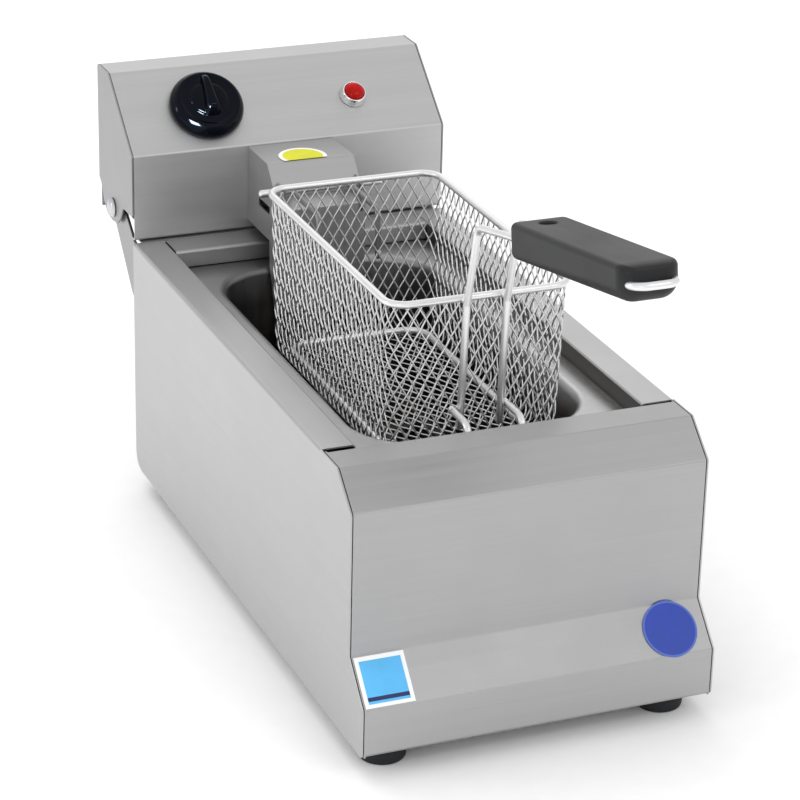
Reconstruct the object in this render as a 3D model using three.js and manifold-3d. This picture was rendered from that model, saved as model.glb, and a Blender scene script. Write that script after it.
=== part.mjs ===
// Countertop electric deep fryer: a folded stainless body with a drop-in oil pan, a control head
// that tilts back on two rear brackets and carries the heating element, and a wire basket that
// hangs on the head's front cover. Millimetres, +Z up, front towards -Y.
import * as THREE from "three";
import { mergeVertices } from "three/addons/utils/BufferGeometryUtils.js";
import Module from "manifold-3d";

const wasm = await Module();
wasm.setup();

// ---- Driving dimensions. Y runs from the skirt's front (0) to the rear, Z from the skirt's bottom.
const WIDTH = 220;
const HALF = WIDTH / 2;
const SHEET = 1; // stainless sheet
const BEND = 2.2; // outer radius of its bends
const GAP = 0.4; // between pieces that touch
const FOOT_HEIGHT = 14;
const BODY_DEPTH = 418;
const TOP_Z = 160; // top flanges
const SKIRT_Z = 30;
const FACE_Y = 22; // the front face stands back from the skirt
const FACE_LOW_Z = 53;
const FACE_HIGH_Z = 141;
const SHOULDER_Y = 44;
const WELL_FRONT_Y = 67; // the well takes a one-third size pan, 176 by 325
const WELL_REAR_Y = 393.4;
const WELL_HALF = 88.6;
const PAN_RIM_Z = 147;
const PAN_DEPTH = 100;
const HEAD_REAR_Y = 493;
const HEAD_TOP_Z = 261;
const HEAD_FRONT_Z = 219; // crease between the head's upright front and its slanted panel
const HEAD_LEAN_Y = 469; // crease between the slanted panel and the head's top
const HEAD_LOW_Z = 160.8;
const PIVOT = { y: 462, z: 170 };
const SHROUD_HALF = 30;
const BASKET = { half: 58.7, front: 98, rear: 310.7, rimZ: 227.2, floor: 121 };
const WIRE = 4.4; // thick basket wires
const GRIP = { length: 141, width: 34.5, thick: 20.4, rise: 9.7, start: 34.7 };

// Where the part's length, handle to head, has its middle.
const FRONT_TIP_Y = -113.9;
const REAR_TIP_Y = 512;
const MIDDLE_Y = (FRONT_TIP_Y + REAR_TIP_Y) / 2;

// ---- Materials
const metal = (color, roughness) => new THREE.MeshStandardMaterial({ color, roughness, metalness: 1 });
const plastic = (color, roughness) => new THREE.MeshStandardMaterial({ color, roughness, metalness: 0 });
const STEEL = metal(0xb4b5b5, 0.38);
const PAN_STEEL = metal(0xc4c4c2, 0.25);
const WIRE_STEEL = metal(0xe2e2e0, 0.2);
const ELEMENT_STEEL = metal(0x6f6c68, 0.45);
const ZINC = metal(0xa9adb0, 0.35);
const COPPER = metal(0xb87348, 0.3);
const BLACK_PLASTIC = plastic(0x17181a, 0.5);
const KNOB_BLACK = plastic(0x06070c, 0.12);
const RUBBER = plastic(0x15171a, 0.75);
const RED_LENS = plastic(0xc4120c, 0.15);
const GREY_NYLON = plastic(0x3a3d40, 0.5);
const WHITE_CERAMIC = plastic(0xe6e2d8, 0.35);
const BLUE_LABEL = plastic(0x2c4aa8, 0.4);
const SKY_LABEL = plastic(0x3f9de6, 0.4);
const YELLOW_LABEL = plastic(0xe9ea1c, 0.4);

// ---- Solids and booleans
const plain = (geometry) => {
  const g = geometry.index ? geometry.toNonIndexed() : geometry.clone();
  g.deleteAttribute("normal");
  g.deleteAttribute("uv");
  return mergeVertices(g, 1e-4);
};
const solid = (geometry) => {
  const g = plain(geometry);
  return new wasm.Manifold(
    new wasm.Mesh({
      numProp: 3,
      vertProperties: new Float32Array(g.attributes.position.array),
      triVerts: new Uint32Array(g.index.array),
    }),
  );
};
const geometryOf = (body) => {
  const mesh = body.getMesh();
  const g = new THREE.BufferGeometry();
  g.setAttribute("position", new THREE.BufferAttribute(new Float32Array(mesh.vertProperties), 3));
  g.setIndex(new THREE.BufferAttribute(new Uint32Array(mesh.triVerts), 1));
  const flat = g.toNonIndexed();
  flat.computeVertexNormals();
  return flat;
};
const join = (...pieces) => geometryOf(pieces.map(solid).reduce((a, b) => a.add(b)));
const cut = (piece, ...tools) => geometryOf(tools.map(solid).reduce((a, b) => a.subtract(b), solid(piece)));
const keep = (piece, region) => geometryOf(solid(piece).intersect(solid(region)));

// ---- Shapes and extrusions
const v2 = (pair) => new THREE.Vector2(pair[0], pair[1]);
const FLAT = { bevelEnabled: false };
const BASIS = {
  x: new THREE.Matrix4().makeBasis(
    new THREE.Vector3(0, 1, 0),
    new THREE.Vector3(0, 0, 1),
    new THREE.Vector3(1, 0, 0),
  ),
  y: new THREE.Matrix4().makeBasis(
    new THREE.Vector3(1, 0, 0),
    new THREE.Vector3(0, 0, 1),
    new THREE.Vector3(0, -1, 0),
  ),
};
// A shape drawn in (y, z), from x0 to x1.
const alongX = (shape, x0, x1, segments = 6) =>
  new THREE.ExtrudeGeometry(shape, { ...FLAT, depth: x1 - x0, curveSegments: segments })
    .applyMatrix4(BASIS.x)
    .translate(x0, 0, 0);
// A shape drawn in (x, z), from y0 to y1.
const alongY = (shape, y0, y1, segments = 6) =>
  new THREE.ExtrudeGeometry(shape, { ...FLAT, depth: y1 - y0, curveSegments: segments })
    .applyMatrix4(BASIS.y)
    .translate(0, y1, 0);
// A shape drawn in (x, y), from z0 to z1.
const alongZ = (shape, z0, z1, segments = 6) =>
  new THREE.ExtrudeGeometry(shape, { ...FLAT, depth: z1 - z0, curveSegments: segments }).translate(0, 0, z0);
const box = (x0, x1, y0, y1, z0, z1) =>
  new THREE.BoxGeometry(x1 - x0, y1 - y0, z1 - z0).translate((x0 + x1) / 2, (y0 + y1) / 2, (z0 + z1) / 2);
const rod = (radius, length, sides = 16) => new THREE.CylinderGeometry(radius, radius, length, sides);
const rodX = (radius, x0, x1, y, z, sides) =>
  rod(radius, x1 - x0, sides).rotateZ(Math.PI / 2).translate((x0 + x1) / 2, y, z);
const rodY = (radius, y0, y1, x, z, sides) => rod(radius, y1 - y0, sides).translate(x, (y0 + y1) / 2, z);
const rodZ = (radius, z0, z1, x, y, sides) =>
  rod(radius, z1 - z0, sides).rotateX(Math.PI / 2).translate(x, y, (z0 + z1) / 2);
const polygon = (points) => new THREE.Shape(points.map(v2));

// Rounds the inner corners of a polyline, in two or three dimensions, with arcs of one radius.
const rounded = (corners, radius, steps) => {
  const points = [corners[0].clone()];
  corners.slice(1, -1).forEach((corner, i) => {
    const back = corners[i].clone().sub(corner).normalize();
    const on = corners[i + 2].clone().sub(corner).normalize();
    const half = Math.acos(THREE.MathUtils.clamp(back.dot(on), -1, 1)) / 2;
    const run = radius / Math.tan(half);
    const middle = back.clone().add(on).normalize();
    const centre = corner.clone().addScaledVector(middle, radius / Math.sin(half));
    const from = corner.clone().addScaledVector(back, run).sub(centre);
    const side = corner.clone().addScaledVector(on, run).sub(centre);
    const turn = Math.PI - 2 * half;
    for (let k = 0; k <= steps; k += 1) {
      const a = (turn * k) / steps;
      const arm = from.clone().multiplyScalar(Math.sin(turn - a) / Math.sin(turn));
      points.push(arm.addScaledVector(side, Math.sin(a) / Math.sin(turn)).add(centre));
    }
  });
  points.push(corners.at(-1).clone());
  return points;
};
// The polyline moved sideways by an offset, positive to its left.
const beside = (points, offset) =>
  points.map((p, i) => {
    const before = p.clone().sub(points[Math.max(i - 1, 0)]).normalize();
    const after = points[Math.min(i + 1, points.length - 1)].clone().sub(p).normalize();
    const way = before.clone().add(after).normalize();
    const stretch = i === 0 || i === points.length - 1 ? 1 : way.dot(after);
    return new THREE.Vector2(p.x - (way.y * offset) / stretch, p.y + (way.x * offset) / stretch);
  });
// A folded sheet's section: its outer line, and the material on the left (+1) or right (-1) of it.
const folded = (corners, side) => {
  const outer = rounded(corners.map(v2), BEND, 3);
  return new THREE.Shape([...outer, ...beside(outer, side * SHEET).reverse()]);
};
const roundedRect = (halfX, y0, y1, radius) => {
  const s = new THREE.Shape();
  s.absarc(halfX - radius, y1 - radius, radius, 0, Math.PI / 2);
  s.absarc(-halfX + radius, y1 - radius, radius, Math.PI / 2, Math.PI);
  s.absarc(-halfX + radius, y0 + radius, radius, Math.PI, 1.5 * Math.PI);
  s.absarc(halfX - radius, y0 + radius, radius, 1.5 * Math.PI, 2 * Math.PI);
  return s;
};
const circle = (x, y, radius) => new THREE.Shape().absarc(x, y, radius, 0, 2 * Math.PI);

// A profile of (radius, height) turned about Z.
const lathe = (profile, sides) => new THREE.LatheGeometry(profile.map(v2), sides).rotateX(Math.PI / 2);
// Convex outlines with the same number of points, one above the other, closed at both ends.
const stack = (levels) => {
  const count = levels[0][0].length;
  const positions = levels.flatMap(([outline, z]) => outline.flatMap((p) => [p.x, p.y, z]));
  const index = [];
  for (let level = 0; level + 1 < levels.length; level += 1) {
    for (let i = 0; i < count; i += 1) {
      const a = level * count + i;
      const b = level * count + ((i + 1) % count);
      index.push(a, b, b + count, a, b + count, a + count);
    }
  }
  const top = (levels.length - 1) * count;
  for (let i = 1; i + 1 < count; i += 1) {
    index.push(0, i + 1, i);
    index.push(top, top + i, top + i + 1);
  }
  const g = new THREE.BufferGeometry();
  g.setAttribute("position", new THREE.BufferAttribute(new Float32Array(positions), 3));
  g.setIndex(index);
  return g;
};

// ---- Wires: straight runs have one step and bends a few.
class WirePath extends THREE.Curve {
  constructor(points) {
    super();
    this.points = points;
  }
  getPoint(t, target = new THREE.Vector3()) {
    return target.copy(this.points[Math.round(t * (this.points.length - 1))]);
  }
  getPointAt(u, target) {
    return this.getPoint(u, target);
  }
  getTangentAt(u, target = new THREE.Vector3()) {
    const last = this.points.length - 1;
    const i = Math.round(u * last);
    const before = this.points[i].clone().sub(this.points[Math.max(i - 1, 0)]).normalize();
    const after = this.points[Math.min(i + 1, last)].clone().sub(this.points[i]).normalize();
    return target.copy(before).add(after).normalize();
  }
  getSpacedPoints(steps) {
    return Array.from({ length: steps + 1 }, (_, i) => this.getPointAt(i / steps));
  }
}
const wire = (corners, diameter, bend, { sides = 8, steps = 3 } = {}) => {
  const points = rounded(corners.map((c) => new THREE.Vector3(...c)), bend, steps);
  return new THREE.ExtrudeGeometry(circle(0, 0, diameter / 2), {
    ...FLAT,
    steps: points.length - 1,
    curveSegments: sides / 2,
    extrudePath: new WirePath(points),
  });
};
// A flat ring of wire, its section an octagon.
const wireRing = (halfX, y0, y1, radius, diameter, z) => {
  const bevel = diameter * 0.2929;
  const ring = roundedRect(halfX - bevel, y0 + bevel, y1 - bevel, radius - bevel);
  const inside = diameter - bevel;
  ring.holes.push(roundedRect(halfX - inside, y0 + inside, y1 - inside, radius - inside));
  return new THREE.ExtrudeGeometry(ring, {
    depth: diameter - 2 * bevel,
    bevelThickness: bevel,
    bevelSize: bevel,
    bevelSegments: 1,
    curveSegments: 4,
  }).translate(0, 0, z - diameter / 2 + bevel);
};

// ---- The part's tree
const fryer = new THREE.Group();
fryer.position.set(0, -MIDDLE_Y, FOOT_HEIGHT);
const add = (name, geometry, material, parent = fryer) => {
  const mesh = new THREE.Mesh(geometry, material);
  mesh.name = name;
  parent.add(mesh);
  return mesh;
};
// The same piece on the left and, mirrored, on the right.
const addPair = (name, geometry, material) => {
  add(`${name}_right`, geometry, material);
  add(`${name}_left`, geometry, material).scale.x = -1;
};

// ---- Body
const FRONT_LINE = [
  [0, 0],
  [0, SKIRT_Z],
  [FACE_Y, FACE_LOW_Z],
  [FACE_Y, FACE_HIGH_Z],
  [SHOULDER_Y, TOP_Z],
  [WELL_FRONT_Y, TOP_Z],
];
const FRONT_HALF = HALF - SHEET - 0.6;
const FOOT_X = 88;
const FEET_Y = { front: 24, rear: 388 };
const FOOT_BORE = 2.8;
const BRACKET = { inner: 105, thick: 2, screws: [[96, 126], [96, 146]] };
const footHoles = (z0, z1) =>
  Object.values(FEET_Y).flatMap((y) => [-1, 1].map((s) => rodZ(FOOT_BORE, z0, z1, s * FOOT_X, y, 8)));

const frontPanel = () => {
  const face = folded([[12, 0], ...FRONT_LINE, [WELL_FRONT_Y, PAN_RIM_Z + 1.4]], -1);
  const returnFlange = 8;
  const outer = rounded(FRONT_LINE.map(v2), BEND, 3);
  const inner = beside(FRONT_LINE.map(v2), -returnFlange).reverse();
  const cheek = new THREE.Shape([...outer, ...inner]);
  return join(
    alongX(face, -FRONT_HALF, FRONT_HALF),
    alongX(cheek, -FRONT_HALF, -FRONT_HALF + SHEET),
    alongX(cheek, FRONT_HALF - SHEET, FRONT_HALF),
  );
};
const sidePanel = (flangeStart) => {
  const rearCorner = 12;
  const lower = rounded([[BODY_DEPTH / 2, 0], [BODY_DEPTH, 0], [BODY_DEPTH, 80]].map(v2), rearCorner, 5);
  const front = FRONT_LINE.slice(0, -1).reverse();
  const round = rounded([[BODY_DEPTH, 80], [BODY_DEPTH, TOP_Z], ...front, [40, 0]].map(v2), BEND, 3);
  const section = folded(
    [
      [HALF - 33, 0],
      [HALF, 0],
      [HALF, TOP_Z],
      [WELL_HALF, TOP_Z],
      [WELL_HALF, PAN_RIM_Z - GAP],
      [WELL_HALF - 8, PAN_RIM_Z - GAP],
    ],
    1,
  );
  const topEnd = BODY_DEPTH - SHEET - GAP;
  const wall = cut(
    alongX(new THREE.Shape([...lower, ...round.slice(1)]), HALF - SHEET, HALF),
    box(HALF - 5, HALF + 5, flangeStart, topEnd, TOP_Z - 10, TOP_Z + 5),
  );
  const channel = alongY(section, flangeStart, BODY_DEPTH - 20);
  const upperChannel = cut(
    alongY(section, BODY_DEPTH - 21, topEnd),
    box(0, HALF + 1, 0, BODY_DEPTH, -1, TOP_Z - 20),
  );
  const frontReturn = box(HALF - 33, HALF - 0.5, 13, flangeStart + 1, 0, SHEET);
  return cut(join(wall, channel, upperChannel, frontReturn), ...footHoles(-5, 5));
};
// A lip reaches back from the rear panel's top and closes the gap under the head.
const REAR_LIP = { half: 104.4, y: 432 };
const rearPanel = () => {
  const wall = folded([[405, 0], [BODY_DEPTH, 0], [BODY_DEPTH, TOP_Z - 1.6]], 1);
  const flange = folded(
    [
      [BODY_DEPTH, TOP_Z - 20],
      [BODY_DEPTH, TOP_Z],
      [WELL_REAR_Y, TOP_Z],
      [WELL_REAR_Y, PAN_RIM_Z + 1.4],
    ],
    1,
  );
  const inside = WELL_HALF - GAP;
  const lip = box(-REAR_LIP.half, REAR_LIP.half, BODY_DEPTH - 1, REAR_LIP.y, TOP_Z - SHEET, TOP_Z);
  const screwHoles = BRACKET.screws.flatMap(([x, z]) =>
    [-1, 1].map((side) => rodY(2.3, BODY_DEPTH - 5, BODY_DEPTH + 5, side * x, z, 8)),
  );
  return cut(
    join(alongX(wall, -FRONT_HALF, FRONT_HALF), alongX(flange, -inside, inside), lip),
    ...screwHoles,
  );
};
const bottomPlate = () => {
  const slot = (x, y) => {
    const long = 30;
    const wide = 3.5;
    const s = new THREE.Shape();
    s.absarc(x - long, y, wide, Math.PI / 2, 1.5 * Math.PI);
    s.absarc(x + long, y, wide, -Math.PI / 2, Math.PI / 2);
    return s;
  };
  const plate = roundedRect(FRONT_HALF - 1, 17, BODY_DEPTH - 6, 3);
  for (let y = 150; y <= 270; y += 20) plate.holes.push(slot(0, y));
  return cut(alongZ(plate, SHEET + GAP, 2 * SHEET + GAP, 3), ...footHoles(-5, 5));
};
const PAN = { half: 72, front: 85, rear: 378, corner: 42, rimHalf: 86.8 };
// The pan's cavity, from its floor up: how far each level is inset from the mouth.
const PAN_LEVELS = [[18, 0], [9, 3], [4, 10], [1.2, 92], [-0.8, 98], [-4, PAN_DEPTH + 1]];
const oilPan = () => {
  const outline = (inset) =>
    roundedRect(PAN.half - inset, PAN.front + inset, PAN.rear - inset, PAN.corner - inset).getPoints(5);
  const floor = PAN_RIM_Z + SHEET - PAN_DEPTH;
  const cavity = stack(PAN_LEVELS.map(([inset, h]) => [outline(inset), floor + h]));
  const skin = stack(
    PAN_LEVELS.slice(0, -1)
      .concat([[-3, PAN_DEPTH - 0.5]])
      .map(([inset, h], i) => [outline(inset - SHEET), floor + h - (i < 2 ? SHEET : 0)]),
  );
  const rim = alongZ(roundedRect(PAN.rimHalf, 67.9, 392.9, 3), PAN_RIM_Z, PAN_RIM_Z + SHEET, 3);
  return cut(join(skin, rim), cavity);
};
const foot = () => {
  const profile = [
    [FOOT_BORE, -GAP],
    [FOOT_BORE, -6],
    [6, -6],
    [6, -FOOT_HEIGHT],
    [12.5, -FOOT_HEIGHT],
    [14, -FOOT_HEIGHT + 1.5],
    [15, -GAP],
  ];
  return lathe([...profile, profile[0]], 18);
};
// Pan-head screw, its head under the foot's recess and its shank up through the floor.
const footScrew = () =>
  lathe([[0, -3], [3.4, -3], [4.6, -1.8], [4.6, 0], [2.4, 0], [2.4, 11.5], [0, 11.5]], 10);
add("front_panel", frontPanel(), STEEL);
add("side_panel_right", sidePanel(WELL_FRONT_Y + 1.4), STEEL);
add("side_panel_left", sidePanel(WELL_FRONT_Y + 3.4), STEEL).scale.x = -1;
add("rear_panel", rearPanel(), STEEL);
add("bottom_plate", bottomPlate(), STEEL);
add("oil_pan", oilPan(), PAN_STEEL);
for (const [end, y] of Object.entries(FEET_Y)) {
  for (const [hand, sign] of [["left", -1], ["right", 1]]) {
    const place = (mesh, z) => mesh.position.set(sign * FOOT_X, y, z);
    place(add(`foot_${end}_${hand}`, foot(), RUBBER), 0);
    place(add(`foot_screw_${end}_${hand}`, footScrew(), ZINC), -6 - GAP);
  }
}

// ---- Rear brackets and the pivot bolts that the head turns on
const pivotBracket = () => {
  const turn = (angle) => [PIVOT.y + 12 * Math.cos(angle), PIVOT.z + 12 * Math.sin(angle)];
  const round = [-0.7, -0.2, 0.3, 0.8, 1.3, 1.8, 2.3].map(turn);
  const y0 = BODY_DEPTH + GAP;
  const plate = polygon([[y0, 113], [431, 120], [468, 159], ...round, [426, 157.5], [y0, 157.5]]);
  const flange = box(88, BRACKET.inner + 1, y0, y0 + BRACKET.thick, 115, 157);
  const bracket = join(alongX(plate, BRACKET.inner, BRACKET.inner + BRACKET.thick), flange);
  const screwHoles = BRACKET.screws.map(([x, z]) => rodY(2.3, y0 - 5, y0 + 5, x, z, 8));
  return cut(bracket, rodX(4.2, 100, 112, PIVOT.y, PIVOT.z, 16), ...screwHoles);
};
const pivotBolt = () => {
  const washer = HALF + 0.3;
  const profile = [
    [0, BRACKET.inner - 6],
    [3.9, BRACKET.inner - 6],
    [3.9, washer],
    [6.6, washer],
    [6, washer + 1.4],
    [3.2, washer + 2.8],
    [0, washer + 3.2],
  ];
  return lathe(profile, 16).rotateY(Math.PI / 2).translate(0, PIVOT.y, PIVOT.z);
};
const pivotNut = () =>
  cut(
    rodX(7, BRACKET.inner - 5, BRACKET.inner - GAP, PIVOT.y, PIVOT.z, 6),
    rodX(4.3, 90, 112, PIVOT.y, PIVOT.z, 12),
  );
// Screw whose head bears on the plane y = 0 from behind.
const smallScrew = () =>
  lathe([[0, -2.6], [2.8, -2.6], [4, -1.4], [4, 0], [2, 0], [2, 4], [0, 4]], 10).rotateX(Math.PI / 2);
addPair("pivot_bracket", pivotBracket(), STEEL);
addPair("pivot_bolt", pivotBolt(), ZINC);
addPair("pivot_nut", pivotNut(), ZINC);
for (const [hand, side] of [["left", -1], ["right", 1]]) {
  BRACKET.screws.forEach(([x, z], i) => {
    const screw = add(`bracket_screw_${hand}_${i + 1}`, smallScrew(), ZINC);
    screw.position.set(side * x, BODY_DEPTH + 2 * GAP + BRACKET.thick, z);
  });
}

// ---- Blank stickers on the flare between the skirt and the front face
const stickerBand = () => {
  const line = rounded(FRONT_LINE.map(v2), BEND, 3);
  return alongX(new THREE.Shape([...beside(line, 0.3), ...beside(line, 0.7).reverse()]), -HALF, HALF);
};
const FLARE_MIDDLE = { y: FACE_Y / 2, z: (SKIRT_Z + FACE_LOW_Z) / 2 };
const FLARE_TILT = Math.atan2(FACE_Y, FACE_LOW_Z - SKIRT_Z);
const onFlare = (geometry, x) => geometry.rotateX(-FLARE_TILT).translate(x, FLARE_MIDDLE.y, FLARE_MIDDLE.z);
add("round_sticker", keep(stickerBand(), onFlare(rodY(17, -10, 10, 0, 0, 40), 85.7)), BLUE_LABEL);
add("square_sticker", keep(stickerBand(), onFlare(box(-15, 15, -10, 10, -15, 15), -92.6)), SKY_LABEL);

// ---- Head: the control box behind the body
const HEAD_FACE_Y = BODY_DEPTH + 0.6;
const SLANT = Math.atan2(HEAD_TOP_Z - HEAD_FRONT_Z, HEAD_LEAN_Y - HEAD_FACE_Y);
const onSlant = (mesh, x, along, out = 0) => {
  const y = HEAD_FACE_Y + along * Math.cos(SLANT) - out * Math.sin(SLANT);
  const z = HEAD_FRONT_Z + along * Math.sin(SLANT) + out * Math.cos(SLANT);
  mesh.position.set(x, y, z);
  mesh.rotation.x = SLANT;
  return mesh;
};
const slantHole = (radius, x, along) => {
  const hole = onSlant(new THREE.Mesh(rodZ(radius, -8, 8, 0, 0, 20)), x, along);
  hole.updateMatrix();
  return hole.geometry.applyMatrix4(hole.matrix);
};
const KNOB = { x: -51, along: 31.5, radius: 25 };
const LAMP = { x: 52.6, along: 29.6 };
const GLAND = { x: 60, z: 186 };
const RESET = { x: -60, z: 186 };
const headShell = () => {
  const line = [
    [426, HEAD_LOW_Z],
    [HEAD_FACE_Y, HEAD_LOW_Z],
    [HEAD_FACE_Y, HEAD_FRONT_Z],
    [HEAD_LEAN_Y, HEAD_TOP_Z],
    [HEAD_REAR_Y, HEAD_TOP_Z],
    [HEAD_REAR_Y, HEAD_LOW_Z],
    [481, HEAD_LOW_Z],
  ];
  const vents = [];
  for (let z = 212; z <= 244; z += 8) {
    for (const x of [-42, 42]) vents.push(box(x - 26, x + 26, 485, 500, z, z + 3));
  }
  const corners = [-1, 1].map((s) => box(s * 106 - 3.5, s * 106 + 3.5, 470, 491.5, 160, 164));
  return cut(
    alongX(folded(line, -1), -HALF + SHEET + GAP, HALF - SHEET - GAP),
    slantHole(4, KNOB.x, KNOB.along),
    slantHole(6.3, LAMP.x, LAMP.along),
    box(-27, 27, 410, 425, 178, 206),
    rodY(10.4, 485, 500, GLAND.x, GLAND.z, 20),
    rodY(4, 485, 500, RESET.x, RESET.z, 16),
    ...vents,
    ...corners,
  );
};
const headSide = () => {
  const ear = [
    [493, 182],
    [488, 178],
    [483, 168],
    [475, 161.6],
    [464, 160],
    [453, 161.6],
    [445, 168],
    [440, 176],
    [436, 177],
  ];
  const over = [
    [HEAD_REAR_Y, 200],
    [HEAD_REAR_Y, HEAD_TOP_Z],
    [HEAD_LEAN_Y, HEAD_TOP_Z],
    [HEAD_FACE_Y, HEAD_FRONT_Z],
    [HEAD_FACE_Y, 177],
    [430, 177],
  ];
  const line = [...rounded(over.map(v2), BEND, 3), ...ear.map(v2).reverse()];
  return cut(
    alongX(new THREE.Shape(line), HALF - SHEET, HALF),
    rodX(4.3, 100, 115, PIVOT.y, PIVOT.z, 16),
  );
};
add("head_shell", headShell(), STEEL);
addPair("head_side", headSide(), STEEL);
add("head_bottom_plate", box(-97, 97, 427, 480, HEAD_LOW_Z, HEAD_LOW_Z + SHEET), STEEL);

// Cover over the element's tails, with ears whose notches hold the basket's rear bar.
const COVER = { front: 358, crease: 381, top: 218, low: 193, rear: HEAD_FACE_Y - 0.3 };
const BAR = { y: 362, z: 205, radius: 2.5, half: 42.5 };
const elementCover = () => {
  const sheet = folded(
    [[COVER.front, 122], [COVER.front, COVER.low], [COVER.crease, COVER.top], [COVER.rear, COVER.top]],
    -1,
  );
  const cheek = polygon([
    [COVER.front + 0.5, 122],
    [366, 122],
    [376, 150],
    [376, 167],
    [COVER.rear, 167],
    [COVER.rear, COVER.top - 0.5],
    [COVER.crease, COVER.top - 0.5],
    [COVER.front + 0.5, COVER.low],
  ]);
  const ear = polygon([
    [359, 186],
    [355.6, 190],
    [355.6, 208],
    [357, 209],
    [359.1, 209],
    [359.1, 203.6],
    [360.6, 202.2],
    [363.4, 202.2],
    [364.9, 203.6],
    [364.9, 209],
    [369, 209],
    [371, 206.2],
  ]);
  const cheekAt = (s) => alongX(cheek, s * 29.5 - 0.5, s * 29.5 + 0.5);
  const earAt = (s) => alongX(ear, s * 27 - 0.75, s * 27 + 0.75);
  const slot = box(-40, 40, 376, 397, 184.6, 190);
  const back = box(-29.5, 29.5, COVER.rear - 1, COVER.rear, 167, COVER.top - 0.5);
  const doorway = box(-27.5, 27.5, 410, 425, 174, 212);
  return cut(
    join(alongX(sheet, -SHROUD_HALF, SHROUD_HALF), cheekAt(-1), cheekAt(1), earAt(-1), earAt(1), back),
    slot,
    doorway,
  );
};
add("element_cover", elementCover(), STEEL);
const coverSticker = () => {
  const round = new THREE.Shape();
  round.absarc(-2.8, 388, 16, 0, 2 * Math.PI);
  const beyondCrease = box(-30, 30, COVER.crease + 1, 420, 0, 300);
  return keep(alongZ(round, COVER.top + 0.3, COVER.top + 0.6, 16), beyondCrease);
};
add("cover_sticker", coverSticker(), YELLOW_LABEL);

// ---- Heating element: two long hairpins low in the pan, their tails up under the cover
const TAIL = { x: 22, y: 367, z: 190, end: 440 };
const HAIRPIN = { outer: 48, inner: 16, front: 105, rear: 335, z: 60 };
const FLANGE_Y = 420.4;
const elementHalf = (s) => [
  [s * TAIL.x, TAIL.end, TAIL.z],
  [s * TAIL.x, TAIL.y, TAIL.z],
  [s * TAIL.x, TAIL.y, HAIRPIN.z],
  [s * HAIRPIN.outer, TAIL.y, HAIRPIN.z],
  [s * HAIRPIN.outer, HAIRPIN.front, HAIRPIN.z],
  [s * HAIRPIN.inner, HAIRPIN.front, HAIRPIN.z],
  [s * HAIRPIN.inner, HAIRPIN.rear, HAIRPIN.z],
];
const elementPath = [...elementHalf(-1), ...elementHalf(1).reverse()];
add("heating_element", wire(elementPath, 8, 12, { sides: 8, steps: 3 }), ELEMENT_STEEL);
const elementFlange = () =>
  cut(
    box(-31, 31, FLANGE_Y, FLANGE_Y + 3, 172, 212),
    rodY(4.4, 415, 430, -TAIL.x, TAIL.z, 20),
    rodY(4.4, 415, 430, TAIL.x, TAIL.z, 20),
    rodY(1.8, 415, 430, 0, 198, 10),
  );
add("element_flange", elementFlange(), ZINC);
[140, 300].forEach((y, i) => {
  add(`element_rest_${i + 1}`, box(-53, 53, y, y + 9, 54.1, 55.6), ELEMENT_STEEL);
});

// ---- Thermostat, its bulb, the over-temperature cut-out and the terminals, inside the head
const thermostat = cut(box(-18, 18, -18, 18, -22, -1.8), rodZ(3.5, -13, 0, 0, 0, 16));
onSlant(add("thermostat", thermostat, GREY_NYLON), KNOB.x, KNOB.along);
const capillary = () => {
  const path = [
    [KNOB.x, 455, 219],
    [KNOB.x, 455, 198],
    [0, 455, 198],
    [0, 367, 198],
    [0, 367, 70],
    [0, 326, 70],
  ];
  return join(wire(path, 2.4, 7, { sides: 6, steps: 3 }), rodY(3.2, 226, 328, 0, 70, 12));
};
add("thermostat_bulb", capillary(), COPPER);
const cutoutThermostat = () =>
  cut(
    join(rodY(13, 462, 480, RESET.x, RESET.z, 20), rodY(6, 479, 491, RESET.x, RESET.z, 16)),
    rodY(4, 485, 495, RESET.x, RESET.z, 16),
  );
add("cutout_thermostat", cutoutThermostat(), GREY_NYLON);
const terminalBlock = () => {
  const holes = [0, 1, 2].map((i) => rodZ(2.4, 172, 190, 14 + i * 14, 462, 10));
  return cut(box(5, 51, 454, 470, HEAD_LOW_Z + SHEET + GAP, 180), ...holes);
};
add("terminal_block", terminalBlock(), WHITE_CERAMIC);
const cableGland = () => {
  const flangeFace = HEAD_REAR_Y + 0.3;
  const nut = rodY(13, flangeFace, flangeFace + 5, GLAND.x, GLAND.z, 6);
  const cap = rodY(10.5, flangeFace + 4, REAR_TIP_Y, GLAND.x, GLAND.z, 16);
  const neck = rodY(9.9, 484, flangeFace + 1, GLAND.x, GLAND.z, 20);
  return cut(join(nut, cap, neck), rodY(4.5, 470, 520, GLAND.x, GLAND.z, 16));
};
add("cable_gland", cableGland(), BLACK_PLASTIC);
const resetButton = lathe([[0, -4], [3.4, -4], [3.4, 3.4], [2.6, 4.2], [0, 4.2]], 16).rotateX(-Math.PI / 2);
add("reset_button", resetButton, RED_LENS).position.set(RESET.x, HEAD_REAR_Y, RESET.z);

// ---- Pilot lamp
const bezel = lathe(
  [[6.9, 0.3], [9.3, 0.3], [9.3, 1.2], [7.9, 5.2], [7.4, 5.6], [6.9, 5.2], [6.9, 0.3]],
  24,
);
onSlant(add("lamp_bezel", bezel, WIRE_STEEL), LAMP.x, LAMP.along);
const lens = lathe(
  [[0, -8], [5.9, -8], [5.9, 0.6], [6.6, 0.6], [6.6, 5.6], [5.8, 7.2], [3.8, 8.4], [0, 9]],
  20,
);
onSlant(add("lamp_lens", lens, RED_LENS), LAMP.x, LAMP.along);
const lampBody = cut(rodZ(8, -30, -1.6, 0, 0, 20), rodZ(6.3, -9, 0, 0, 0, 20));
onSlant(add("lamp_body", lampBody, BLACK_PLASTIC), LAMP.x, LAMP.along);

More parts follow.
